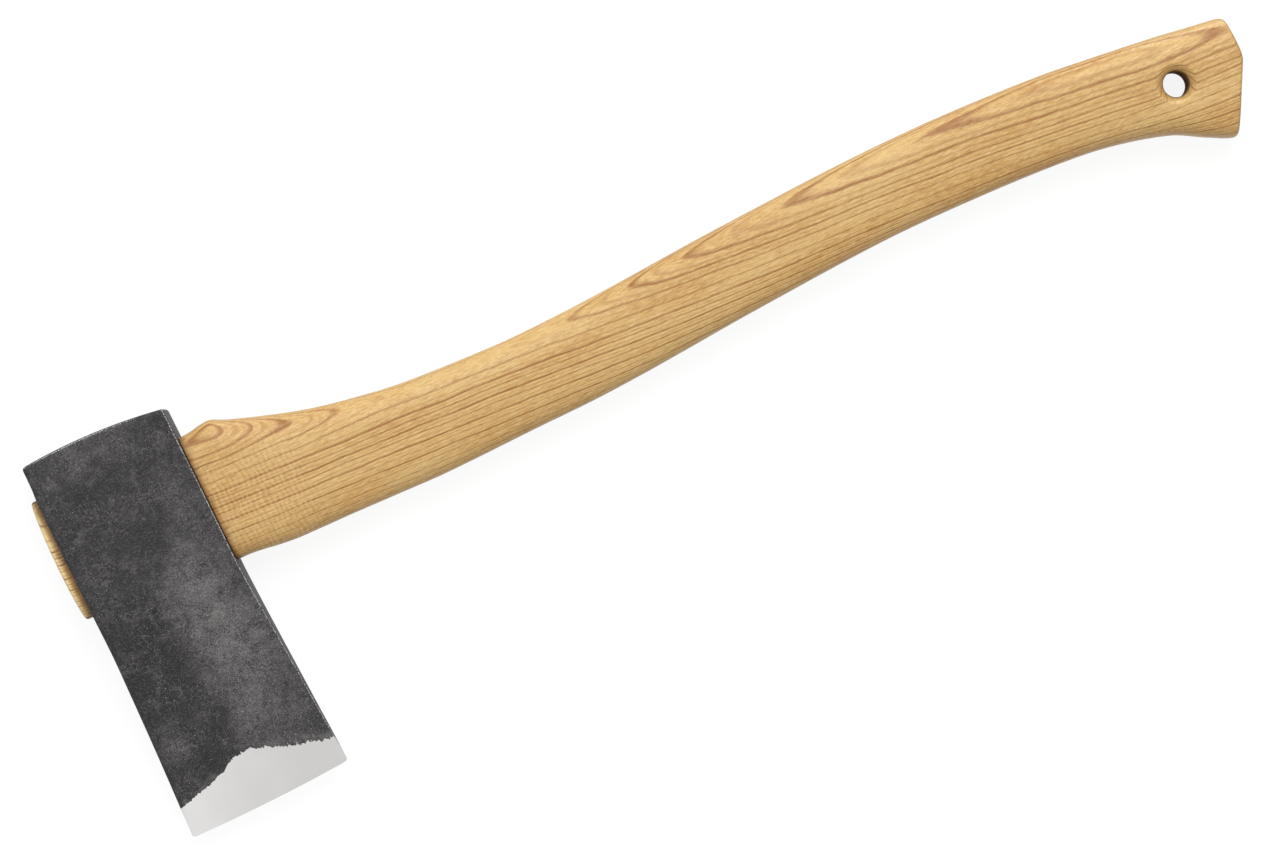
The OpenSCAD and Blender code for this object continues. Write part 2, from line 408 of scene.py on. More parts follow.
def buildWoodGrain():
    tree, given = newGroup("woodGrain", {
        "Pith Height": 52.6,    # where the middle of the tree was, mm
        "Pith Depth": 80.3,
        "Run Out": 0.081,       # slope of the grain to the haft
        "Wander": 0.4,          # mm
        "Line Width": 0.34,     # mm
        "Fibre Size": 1.0,
    })
    point = pointInMm(tree)
    split = addNode(tree, "ShaderNodeSeparateXYZ", {0: point}).outputs
    slow = cloud(tree, point, (0.012, 0.03, 0.03), detail=2)
    quick = cloud(tree, point, (0.05, 0.16, 0.16), (3, 7, 1))
    slow = between(tree, slow, 0.25, 0.75, -1.6, 1.6, soft=False)
    quick = between(tree, quick, 0.25, 0.75, -0.8, 0.8, soft=False)
    sway = times(tree, calc(tree, "ADD", slow, quick), given["Wander"])
    across = calc(tree, "MULTIPLY_ADD", split["X"], given["Run Out"], split["Y"])
    across = calc(tree, "ADD", calc(tree, "SUBTRACT", across, given["Pith Height"]), sway)
    deep = calc(tree, "SUBTRACT", split["Z"], given["Pith Depth"])
    squares = calc(tree, "ADD", times(tree, across, across), times(tree, deep, deep))
    radius = calc(tree, "SQRT", squares)
    # Growth rings are wide in some years and narrow in others
    ringRadii = [
        72.3, 74.3, 76.3, 78.5, 80.1, 81.7, 84.1, 86.8, 88.3, 90.3, 92.0, 94.4, 96.2, 98.2, 100.0, 102.6,
        104.8, 107.4,
    ]
    while ringRadii[-1] < 150:
        ringRadii.append(ringRadii[-1] + 2.0 + 0.5 * math.sin(len(ringRadii) * 2.4))
    firstRadius, radiusSpan = 60.0, 90.0
    yearsHeld = 48   # years that the curve runs over
    yearsInside = 6  # those nearer the pith than the first ring of the list
    share = calc(tree, "DIVIDE", calc(tree, "SUBTRACT", radius, firstRadius), radiusSpan)
    years = addNode(tree, "ShaderNodeFloatCurve", {"Value": share})
    curve = years.mapping.curves[0]
    spots = [(0, 0.0)]
    for i, ring in enumerate(ringRadii):
        spots.append(((ring - firstRadius) / radiusSpan, (i + yearsInside) / yearsHeld))
    curve.points[0].location = spots[0]
    curve.points[1].location = spots[-1]
    for spot in spots[1:-1]:
        curve.points.new(*spot)
    for handle in curve.points:
        handle.handle_type = "VECTOR"
    years.mapping.update()
    count = times(tree, years.outputs[0], yearsHeld)
    year = calc(tree, "ROUND", count)
    off = calc(tree, "SUBTRACT", count, year)
    outward = times(tree, calc(tree, "MAXIMUM", off, 0.0), 3.0)
    inward = times(tree, calc(tree, "MINIMUM", off, 0.0), -1.6)  # lines fade towards the pith
    distance = calc(tree, "ADD", outward, inward)
    chance = addNode(tree, "ShaderNodeTexWhiteNoise", {"W": year}, noise_dimensions="1D").outputs["Value"]
    width = times(tree, given["Line Width"], between(tree, chance, 0, 1, 0.7, 1.25))
    lines = between(tree, calc(tree, "DIVIDE", distance, width), 0.1, 1.0, 1.0, 0.0)
    lines = times(tree, lines, between(tree, chance, 0, 1, 0.6, 1.0))
    # fainter line in the middle of most years
    faint = times(tree, calc(tree, "SUBTRACT", 0.5, calc(tree, "ABSOLUTE", off)), 2.0)
    faint = between(tree, faint, 0.3, 0.02, 0.0, 0.42)
    lines = calc(tree, "MAXIMUM", lines, times(tree, faint, between(tree, chance, 0.1, 0.6)))
    broken = cloud(tree, point, (0.08, 0.9, 0.9), (6, 2, 4))
    lines = times(tree, lines, between(tree, broken, 0.3, 0.6, 0.65, 1.0))
    fibres = cloud(tree, point, (0.26, 2.3, 2.3), size=given["Fibre Size"], detail=4, roughness=0.75)
    dashes = cloud(tree, point, (0.42, 4.2, 4.2), (11, 5, 2), size=given["Fibre Size"], detail=2)
    dashes = between(tree, dashes, 0.58, 0.66)
    pores = times(tree, dashes, between(tree, distance, 0.2, 1.1, 1.0, 0.2))
    patches = cloud(tree, point, (0.018, 0.07, 0.07), (2, 9, 4))
    return giveOut(tree, {"Lines": lines, "Fibres": fibres, "Pores": pores, "Patches": patches})


def buildSteelSkin():
    tree, given = newGroup("steelSkin", {"Cloud Size": 1.0, "Pit Size": 1.0})
    point = pointInMm(tree)
    broad = given["Cloud Size"]
    clouds = cloud(tree, point, (0.06, 0.045, 0.06), size=broad, detail=2)
    blotches = cloud(
        tree, point, (0.16, 0.14, 0.16), (5, 1, 8), size=broad, detail=5, roughness=0.62, warp=0.5,
    )
    # fine swirls in the scale, where it flaked between hammer blows
    swirl = cloud(tree, point, (0.13, 0.1, 0.13), (2, 8, 4), size=broad, detail=4, roughness=0.55, warp=1.6)
    swirl = calc(tree, "ABSOLUTE", calc(tree, "SUBTRACT", swirl, 0.5))
    gathered = cloud(tree, point, (0.07, 0.07, 0.07), (8, 6, 1))
    strokes = times(tree, between(tree, swirl, 0.035, 0.0), between(tree, gathered, 0.42, 0.6))
    # darker islands with crisp edges, where a second layer of scale still holds
    islands = cloud(tree, point, (0.3, 0.22, 0.3), (6, 2, 9), size=broad, detail=6, roughness=0.7, warp=0.9)
    held = between(tree, gathered, 0.6, 0.42, 0.25, 1.0)
    flakes = times(tree, between(tree, islands, 0.5, 0.45), held)
    fine = given["Pit Size"]
    mottle = cloud(
        tree, point, (0.55, 1.25, 0.9), turn=(0, 0, 0.75), size=fine, detail=5, roughness=0.75, warp=0.7,
    )
    pits = cloud(tree, point, (1, 1, 1), (3, 9, 2), size=times(tree, fine, 1.7), roughness=0.7)
    grit = cloud(tree, point, (1, 1, 1), (9, 4, 7), size=times(tree, fine, 2.1), detail=1)
    sown = between(tree, gathered, 0.36, 0.6, 0.2, 1.0)
    specks = times(tree, between(tree, grit, 0.66, 0.76), sown)
    scratches = cloud(tree, point, (0.12, 3.0, 3.0), (1, 4, 2), detail=2)
    ragged = cloud(tree, point, (0.9, 0.5, 0.9), (7, 3, 5), detail=4, roughness=0.6)
    return giveOut(tree, {
        "Clouds": clouds, "Blotches": blotches, "Strokes": strokes, "Flakes": flakes, "Mottle": mottle,
        "Specks": specks, "Pits": pits, "Scratches": scratches, "Ragged": ragged,
    })


woodGrain = buildWoodGrain()
steelSkin = buildSteelSkin()
print("shader groups built")

# Head

head = {
    "taperStart": -24.0,     # where the cheeks start to thin, seen from the eye
    "bladeReach": 123.6,
    "bitRadius": 770.0,
    "bitSlant": 0.65,
    "bitHalf": 34.85,        # half the width of the cutting edge
    "bitCorner": 1.3,        # softened corners of the cutting edge
    "bevelAngle": 11.0,
    "bevelHeight": 24.0,
    "bevelBelly": 0.25,      # bevels are ground slightly convex
    "pollReach": 39.4,
    "pollRadius": 300.0,
    "pollSlant": 2.7,
    "pollRounding": 1.5,
    "pollCrown": 0.35,       # the poll's face is slightly domed
    "edgeRounding": 1.3,
    "eyeTop": (51.0, 21.5),  # where the wedges are: along and across the oval
    "eyeBottom": (46.0, 18.0),
    "eyeSquareness": 2.3,
    "eyeMiddle": -0.4,       # the eye was drifted a little towards the edge
    "hammering": 0.13,       # depth of the forging marks, mm
    "columns": 96,           # fineness of the mesh
    "bevelRows": 24,
    "bladeRows": 90,
    "cheekRows": 60,
    "sidePoints": 14,
}

# Half thickness of the blade: share of the way to the edge, share that the cheek adds to the ridge
bladeProfile = [(0, 1), (0.03, 0.985), (0.1, 0.9), (0.3, 0.54), (0.5, 0.25), (0.76, 0), (1, -0.1)]
# Where the ground bevel stops: place across the blade, height over the cutting edge
bevelTop = [
    (-36, 12.2), (-34, 12.6), (-27.6, 14.3), (-20.3, 16.5), (-12.4, 18.8), (-6.8, 21.8), (-1.2, 23.5),
    (1, 23.7), (3.2, 22.1), (8.8, 19.8), (13.9, 17.2), (21.7, 14.6), (27.9, 12.6), (33.5, 11.2), (36, 10.6),
]
# Sides of the head: height, left, right
headSides = [
    (-130, -35.0, 35.0), (-100, -33.5, 33.55), (-80, -32.5, 32.6), (-60, -31.6, 31.6), (-45, -30.95, 30.9),
    (-33, -30.8, 30.5), (0, -30.95, 30.55), (24, -30.9, 30.45), (30, -30.5, 30.4), (42, -30.4, 30.3),
]


def archHeight(x, radius, slant):
    # height at x of an arch that leans by slant degrees, over its height at the middle
    lean = math.radians(slant)
    return np.sqrt(radius ** 2 - (x + radius * math.sin(lean)) ** 2) - radius * math.cos(lean)


def edgeHeight(x):
    arc = -head["bladeReach"] - archHeight(x, head["bitRadius"], head["bitSlant"])
    corner = head["bitCorner"]
    out = np.clip((np.abs(x) - (head["bitHalf"] - corner)) / corner, 0, 0.98)
    return arc + corner * (1 - np.sqrt(1 - out ** 2))


def pollHeight(x):
    return head["pollReach"] + archHeight(x, head["pollRadius"], head["pollSlant"])


def bevelHeightAt(x, rise):
    straight = rise * math.tan(math.radians(head["bevelAngle"]))
    belly = head["bevelBelly"] * np.sin(np.clip(rise / head["bevelHeight"], 0, 1) * math.pi)
    return straight + belly * (1 - np.clip(np.abs(x) / 60, 0, 1))


def ridgeHeight(share):
    # half thickness along the ridge, from where the taper starts (0) to the edge (1)
    ridge = head["bevelHeight"] * math.tan(math.radians(head["bevelAngle"]))
    return ridge + (cheek - ridge) * alongRows(bladeProfile, share, 1)


def bladeShare(y):
    return np.clip((head["taperStart"] - y) / (head["bladeReach"] + head["taperStart"]), 0, 1.2)


def cheekHeight(x, y, face):
    # half thickness of the forged surface; face is 1 above and -1 below
    share = bladeShare(y)
    top = alongRows(bevelTop, x * face, 1)
    crown = ridgeHeight(bladeShare(edgeHeight(x) + top)) - bevelHeightAt(x, top)  # fall beside the ridge
    half = ridgeHeight(share) - crown * np.clip(share * 1.4 - 0.05, 0, 1)
    # strength, size and place in the noise; the finest is only beside the ground bevel
    layers = [(0.5, 17, 0), (0.35, 7.5, 3), (0.18, 3.2, 9), (0.3 * easeStep(-85, -100, y), 1.5, 5)]
    rough = sum(strength * lumps(x, y, face * 40.0, size, offset) for strength, size, offset in layers)
    return half + head["hammering"] * (rough - 0.8 * np.clip(1.5 - share * 2, 0, 1))


def groundTop(x, face):
    # height over the cutting edge where the ground bevel meets the forged cheek
    rises = np.arange(4, 40, 0.2)
    xs, up = np.meshgrid(x, rises)
    over = bevelHeightAt(xs, up) - cheekHeight(xs, edgeHeight(xs) + up, face)
    first = np.maximum(np.argmax(over > 0, axis=0), 1)
    column = np.arange(len(x))
    before, after = over[first - 1, column], over[first, column]
    return rises[first] - 0.2 * after / (after - before)


def buildHead():
    lines = np.linspace(-1, 1, head["columns"])
    across = 0.6 * lines + 0.4 * np.sin(lines * math.pi / 2)  # closer together near the long edges
    edgeX = across * (head["bitHalf"] + 0.05)
    bevelRows, bladeRows, cheekRows = head["bevelRows"], head["bladeRows"], head["cheekRows"]
    rounding = head["edgeRounding"]
    grids = {}
    for face in (1, -1):
        top = groundTop(edgeX, face)
        base = edgeHeight(edgeX)
        pollLine = pollHeight(across * 31.4) - head["pollRounding"]
        rows = [base + top * (step / bevelRows) for step in range(bevelRows)]
        for step in range(bladeRows):
            rows.append(base + top + (head["taperStart"] - base - top) * (step / bladeRows))
        for step in range(cheekRows + 1):
            rows.append(head["taperStart"] + (pollLine - head["taperStart"]) * (step / cheekRows))
        y = np.array(rows)
        left = alongRows(headSides, y, 1)
        right = alongRows(headSides, y, 2)
        middle, half = (left + right) / 2, (right - left) / 2
        rise = y - base[None, :]
        roughX = middle + across[None, :] * half
        z = cheekHeight(roughX, y, face)
        ground = np.minimum(bevelHeightAt(roughX, rise), z + 0.02)
        z[:bevelRows + 1] = ground[:bevelRows + 1]
        z[0] = 0
        corner = np.minimum(rounding, 0.42 * z)
        x = middle + across[None, :] * (half - corner)
        grids[face] = {"x": x, "y": y, "z": z, "left": left, "right": right, "corner": corner}
    upper, lower = grids[1], grids[-1]
    sideCount = head["sidePoints"]
    rings = []

    def sideChain(row, end, outward):
        # points down one side face, from the upper cheek to the lower one
        yTop, zTop, rTop = (upper[name][row, end] for name in ("y", "z", "corner"))
        yLow, zLow, rLow = (lower[name][row, end] for name in ("y", "z", "corner"))
        edge = upper["right" if outward > 0 else "left"][row, end]
        drawn = [(1 - math.sin(angle), 1 - math.cos(angle)) for angle in quarter]
        chain = [(edge - outward * rTop * inward, zTop - rTop * down) for inward, down in drawn]
        chain += [(edge, z) for z in np.linspace(zTop - rTop, -(zLow - rLow), sideCount - 6)[1:-1]]
        chain += [(edge - outward * rLow * inward, -(zLow - rLow * down)) for inward, down in drawn[::-1]]
        made = []
        for x, z in chain:
            share = (zTop - z) / max(zTop + zLow, 1e-6)
            made.append((x, yTop + (yLow - yTop) * share, z))
        return made

    for row in range(len(upper["x"])):
        top = np.column_stack([upper["x"][row], upper["y"][row], upper["z"][row]])
        low = np.column_stack([lower["x"][row], lower["y"][row], -lower["z"][row]])[::-1]
        rings.append(np.concatenate([top, sideChain(row, -1, 1), low, sideChain(row, 0, -1)[::-1]]))
    # The poll's edge is rounded by rings that draw in, then a grid closes it
    last = rings[-1]
    centreX = (last[:, 0].max() + last[:, 0].min()) / 2
    halfX = (last[:, 0].max() - last[:, 0].min()) / 2
    radius = head["pollRounding"]
    for angle in quarter:
        inward = radius * (1 - math.cos(angle))
        x = centreX + (last[:, 0] - centreX) * (1 - inward / halfX)
        z = last[:, 2] * (1 - inward / cheek)
        rings.append(np.column_stack([x, last[:, 1] + radius * math.sin(angle), z]))
    points, faces = loft(rings, closed=False)
    columns = head["columns"]
    ringSize = len(last)
    start = (len(rings) - 1) * ringSize
    topRow = list(range(start, start + columns))
    rightRow = list(range(topRow[-1] + 1, topRow[-1] + 1 + sideCount))
    lowRow = list(range(rightRow[-1] + 1, rightRow[-1] + 1 + columns))[::-1]
    leftRow = list(range(lowRow[0] + 1, lowRow[0] + 1 + sideCount))[::-1]
    final = rings[-1]
    grid = [topRow]
    extra = []
    for level, z in enumerate(final[columns:columns + sideCount, 2]):
        shareDown = (level + 1) / (sideCount + 1)
        crown = head["pollCrown"] * (1 - (z / cheek) ** 2)
        first = len(points) + len(extra)
        for i in range(1, columns - 1):
            yTop, yLow = final[i, 1], final[lowRow[i] - start, 1]
            extra.append((final[i, 0], yTop + (yLow - yTop) * shareDown + crown, z))
        grid.append([leftRow[level], *range(first, len(points) + len(extra)), rightRow[level]])
    grid.append(lowRow)
    for upperLine, lowerLine in zip(grid[:-1], grid[1:]):
        for i in range(columns - 1):
            corners = dict.fromkeys((upperLine[i], upperLine[i + 1], lowerLine[i + 1], lowerLine[i]))
            if len(corners) > 2:
                faces.append(tuple(corners))
    points = np.concatenate([points, np.array(extra)])
    return meshPiece("head.forging", points, faces, 32)


def eyeOval(x, grow, count=72):
    share = (x + headSide) / (2 * headSide)
    depth = head["eyeTop"][0] + share * (head["eyeBottom"][0] - head["eyeTop"][0]) + 2 * grow
    thickness = head["eyeTop"][1] + share * (head["eyeBottom"][1] - head["eyeTop"][1]) + 2 * grow
    turn = ovalAngles(depth, thickness, head["eyeSquareness"], count)
    y, z = ovalPoint(turn, head["eyeMiddle"], depth, thickness, head["eyeSquareness"])
    return np.column_stack([np.full(count, x), y, z])


headPiece = buildHead()
print("head lofted:", len(headPiece.data.vertices), "points")
# The eye's mouths are eased: place across the head, growth of the oval
mouths = [
    (-40, 1.0), (-31.0, 0.95), (-30.6, 0.45), (-29.8, 0.1), (-28, 0), (0, 0), (27, 0), (28.9, 0.3),
    (40, 0.6),
]
eyeTool = meshPiece("eyeTool", *loft([eyeOval(x, grow) for x, grow in mouths]))
shapeWith(headPiece, eyeTool, "DIFFERENCE", 32)

# Marks for the material: how far over the bevel's top line, and where handling wears the edges
x, y, z = pointsOf(headPiece)
faceSign = np.where(z >= 0, 1, -1)
line = np.linspace(-35.2, 35.2, 281)
upperTop, lowerTop = (np.interp(x, line, groundTop(line, face)) for face in (1, -1))
rise = y - edgeHeight(x)
markPoints(headPiece, "overGround", rise - np.where(faceSign > 0, upperTop, lowerTop))
surface = np.minimum(cheekHeight(x, y, faceSign), bevelHeightAt(x, np.maximum(rise, 0)))
fromRim = np.minimum(np.abs(x - alongRows(headSides, y, 1)), np.abs(x - alongRows(headSides, y, 2)))
fromPoll = pollHeight(x) - y
dropped = surface - np.abs(z)
arcMark = np.exp(-np.abs(fromRim - dropped) * 2.2) * (fromRim < 1.6) * (dropped < 1.6)
handled = np.where(x > 0, 1.0, 0.3)
pollMark = np.exp(-np.abs(fromPoll - dropped) * 2.2) * (fromPoll < 1.8) * (dropped < 1.8)
markPoints(headPiece, "wear", np.maximum(arcMark * handled, pollMark))
# side walls: marked so that the ground bevel stops there, and so that painted shade darkens them
markPoints(headPiece, "side", easeStep(0.9, 0.3, fromRim) * easeStep(0.4, 1.2, dropped))
# Broad lighter and darker areas drawn on the cheeks: middle, size, lightness
shades = [
    ((11, -50), (13, 34), 1.05), ((12, -92), (18, 20), 0.3), ((26, -62), (9, 24), 0.5),
    ((-6, 33), (20, 8), 0.4), ((17, -28), (9, 9), 0.3), ((-25, -84), (7, 10), 0.5),
    ((19, 4), (7, 12), 0.25), ((5, -2), (9, 18), -0.3), ((-21, -50), (10, 26), -0.5),
    ((-7, -84), (8, 14), -0.4),
]
toned = np.zeros(len(x))
for (atX, atY), (wide, tall), change in shades:
    toned += change * np.exp(-((x * faceSign - atX) / wide) ** 2 - ((y - atY) / tall) ** 2)
markPoints(headPiece, "toned", toned)


def steelMaterial():
    looks = {
        "scale": colour(44, 42, 43),
        "scaleDark": colour(34, 32, 33),
        "scaleLight": colour(115, 112, 112),
        "outline": colour(22, 21, 22),
        "ground": colour(221, 220, 218),
        "groundPaintedDim": colour(203, 202, 200),
        "worn": colour(190, 189, 187),
    }
    material, tree, shader = newMaterial("forgedSteel", looks["scale"])
    skin = useGroup(tree, steelSkin)
    over, wear, toned, side = (marked(tree, name) for name in ("overGround", "wear", "toned", "side"))
    across = addNode(tree, "ShaderNodeSeparateXYZ", {0: pointInMm(tree)}).outputs["X"]
    ragged = between(tree, skin["Ragged"], 0.3, 0.7, -1.0, 1.0, soft=False)
    ragged = times(tree, ragged, between(tree, across, -15, 22, 0.5, 1.1))
    over = calc(tree, "ADD", over, ragged)
    ground = times(tree, between(tree, over, 0.06, -0.06), calc(tree, "SUBTRACT", 1.0, side))
    forged = calc(tree, "SUBTRACT", 1.0, ground)
    # forged skin
    base = blend(tree, between(tree, skin["Clouds"], 0.32, 0.68), looks["scaleDark"], looks["scale"])
    lighter = calc(tree, "MAXIMUM", toned, 0.0)
    darker = times(tree, calc(tree, "MINIMUM", toned, 0.0), -1.0)
    uneven = between(tree, skin["Blotches"], 0.35, 0.65, 0.5, 0.9)
    base = layered(tree, base, looks, (lighter, uneven, "scaleLight"), (darker, uneven, "scaleDark"))
    # finer effects: where each starts and is full, how strong it is, and towards which colour
    for effect, start, full, strength, toward in (
        ("Blotches", 0.52, 0.72, 0.32, "scaleLight"), ("Blotches", 0.48, 0.3, 0.5, "outline"),
        ("Mottle", 0.5, 0.68, 0.34, "scaleLight"), ("Mottle", 0.5, 0.32, 0.42, "outline"),
        ("Pits", 0.5, 0.68, 0.42, "scaleLight"), ("Pits", 0.5, 0.32, 0.55, "outline"),
    ):
        base = blend(tree, between(tree, skin[effect], start, full, 0.0, strength), base, looks[toward])
    # the lighter areas are grainier
    for full, strength, toward in ((0.66, 0.28, "worn"), (0.34, 0.4, "scaleDark")):
        grainy = times(tree, between(tree, skin["Pits"], 0.5, full, 0.0, strength), lighter)
        base = blend(tree, grainy, base, looks[toward])
    haze = times(tree, between(tree, over, 5.0, 0.0), between(tree, skin["Blotches"], 0.4, 0.65))
    outline = times(tree, between(tree, over, 0.9, 0.1), between(tree, skin["Pits"], 0.4, 0.6))
    # the side walls take the darkest scale colour as painted shade
    outline = calc(tree, "MAXIMUM", outline, side)
    # edges worn bright
    worn = times(tree, wear, between(tree, skin["Pits"], 0.38, 0.62, 0.3, 1.2))
    worn = between(tree, worn, 0.4, 0.8)
    base = layered(
        tree, base, looks,
        (skin["Flakes"], 0.3, "outline"), (skin["Strokes"], 0.3, "scaleLight"), (haze, 0.4, "scaleLight"),
        (skin["Specks"], 0.7, "worn"), (outline, 0.6, "outline"), (worn, 0.95, "worn"),
    )
    # ground bevel: its colour runs lighter towards -x and dimmer towards the haft's side, a painted
    # reflection, with a cloudy wander
    across = calc(tree, "ADD", across, between(tree, skin["Clouds"], 0.3, 0.7, -7, 7))
    bright = blend(tree, between(tree, across, -38, 20), looks["ground"], looks["groundPaintedDim"])
    base = blend(tree, ground, base, bright)
    metallic = calc(tree, "MAXIMUM", ground, times(tree, worn, 0.8))
    metallic = calc(tree, "MAXIMUM", metallic, 0.08)
    dull = between(tree, skin["Pits"], 0.3, 0.7, 0.5, 0.66)
    fine = between(tree, skin["Scratches"], 0.3, 0.7, 0.33, 0.4)
    rough = calc(tree, "ADD", times(tree, dull, forged), times(tree, fine, ground))
    pitted = times(tree, forged, calc(tree, "ADD", skin["Pits"], skin["Strokes"]))
    height = calc(tree, "MULTIPLY_ADD", skin["Scratches"], times(tree, ground, 0.02), pitted)
    bump = addNode(tree, "ShaderNodeBump", {"Strength": 0.5, "Distance": 0.00012, "Height": height})
    shader.inputs["Specular IOR Level"].default_value = 0.3
    plug(tree, shader, Base_Color=base, Metallic=metallic, Roughness=rough, Normal=bump.outputs[0])
    return material


headPiece.data.materials.clear()
headPiece.data.materials.append(steelMaterial())
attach(headPiece, "root")
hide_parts("head")
print("head finished")

# Haft

haft = {
    "points": 96,            # round each section
    "endRounding": 1.2,      # softened edge of the knob's end
    "tenonRounding": 1.0,
    "tenonDraw": 1.05,       # the sawn end lies a little inside the nominal one
    "tenonSwell": 0.3,       # the wedges swell the tenon where it leaves the eye
    "shoulderGap": 0.1,
    "holeDiameter": 10.5,
    "holeInset": 31.0,
    "holeRise": 1.0,
    "sinkDepth": 2.6,        # countersink at both mouths of the hole
    "handFinish": 0.12,      # unevenness left by sanding, mm
    "middle": -17.0,         # height of the haft's middle, beside the eye's
}

# Outline beside the eye: x, upper edge, lower edge, thickness, squareness
haftRows = [
    (headSide, 22.8, -31.0, 24.0, 4.6), (36, 23.35, -31.2, 24.0, 4.5), (41, 24.15, -31.8, 24.0, 4.4),
    (43.5, 24.3, -32.2, 24.0, 4.4), (44.9, 24.05, -32.5, 24.0, 4.3), (46.4, 23.4, -32.75, 24.0, 4.2),
    (50.75, 21.3, -33.35, 24.0, 4.0), (56, 19.35, -33.9, 23.8, 3.8), (64, 16.45, -34.2, 23.5, 3.5),
    (80.75, 11.15, -34.75, 23.0, 3.6), (100, 6.95, -35.6, 22.1, 3.5), (120.75, 3.7, -36.45, 21.4, 3.5),
    (161.25, 0.95, -36.2, 21.5, 3.4), (186, 0.85, -36.2, 21.7, 3.4), (210.75, 1.6, -35.3, 22.0, 3.4),
    (260.25, 4.0, -32.25, 22.0, 3.4), (318.75, 5.65, -29.85, 22.0, 3.4), (360.75, 5.1, -30.7, 22.0, 3.5),
    (400.75, 2.55, -33.4, 24.0, 3.6), (420.75, 0.15, -36.65, 25.0, 3.7), (440.75, -2.5, -42.5, 26.0, 3.8),
    (452.75, -4.2, -49.3, 26.0, 3.8), (462.75, -5.9, -54.0, 26.0, 3.8), (480.75, -8.7, -54.1, 25.4, 3.8),
]
# Slanted end of the knob: height, distance from the end of the haft
knobEnd = [
    (-70, 25.8), (-60, 20.3), (-52.2, 16.1), (-40, 9.6), (-30, 4.2), (-27.5, 2.9), (-25.5, 2.3),
    (-22, 2.05), (-16, 2.05), (-11.5, 2.2), (-9.8, 2.6), (-8.8, 3.4), (-6, 8), (0, 20),
]


def haftMeasures(x):
    # upper edge, lower edge, thickness and squareness at x
    return [alongRows(haftRows, x, column) for column in (1, 2, 3, 4)]


def haftSection(x, turn):
    upper, lower, thickness, squareness = haftMeasures(x)
    return ovalPoint(turn, (upper + lower) / 2, upper - lower, thickness, squareness)


def evenTurns(x):
    upper, lower, thickness, squareness = (float(value) for value in haftMeasures(x))
    return ovalAngles(upper - lower, thickness, squareness, haft["points"])


def tenonOval(x, grow):
    return eyeOval(x, grow, haft["points"])


endFace = tenonEnd + haft["tenonDraw"]
turningSteps = 96  # sides of a turned shape
holeX = haftEnd - haft["holeInset"]
holeY = float(sum(haftMeasures(holeX)[:2])) / 2 + haft["holeRise"]
boreRadius = haft["holeDiameter"] / 2


def tenonRings():
    rings = []
    rounding = haft["tenonRounding"]
    middle = head["eyeMiddle"]

    def endShift(y, z):
        # the sawn end is slightly domed, leans a little and is rough
        return ((y + 5) / 30) ** 2 + 0.15 * (z / 10) ** 2 + 0.09 * lumps(0, y, z, 1.7, 4)

    def endRing(scale, inward, back):
        ring = tenonOval(endFace + 4, haft["tenonSwell"])
        y = middle + (ring[:, 1] - middle) * scale * (1 - inward / (head["eyeTop"][0] / 2))
        z = ring[:, 2] * scale * (1 - inward / (head["eyeTop"][1] / 2))
        return np.column_stack([endFace + back + endShift(y, z), y, z])

    def splintered(ring):
        # shallow furrows along the grain where the tenon stands proud
        x, y, z = ring.T
        furrow = 1 + 0.008 * lumps(x * 0.1, y, z, 1.3, 8)
        return np.column_stack([x, middle + (y - middle) * furrow, z * furrow])

    for scale in (0.05, 0.12, 0.2, 0.28, 0.36, 0.44, 0.52, 0.6, 0.68, 0.76, 0.84, 0.92, 0.97):
        rings.append(endRing(scale, rounding, 0))
    for angle in np.radians([90, 67.5, 45, 22.5, 0]):
        ring = endRing(1, rounding * (1 - math.cos(angle)), rounding * (1 - math.sin(angle)))
        rings.append(splintered(ring) if angle < 1.2 else ring)
    for x, grow in ((-32.3, haft["tenonSwell"]), (-31.5, haft["tenonSwell"] * 0.9)):
        rings.append(splintered(tenonOval(x, grow)))
    rings.append(tenonOval(-30.5, 0.1))
    for x in (-29, -15, 0, 15, 27):
        rings.append(tenonOval(x, -0.12))
    return rings


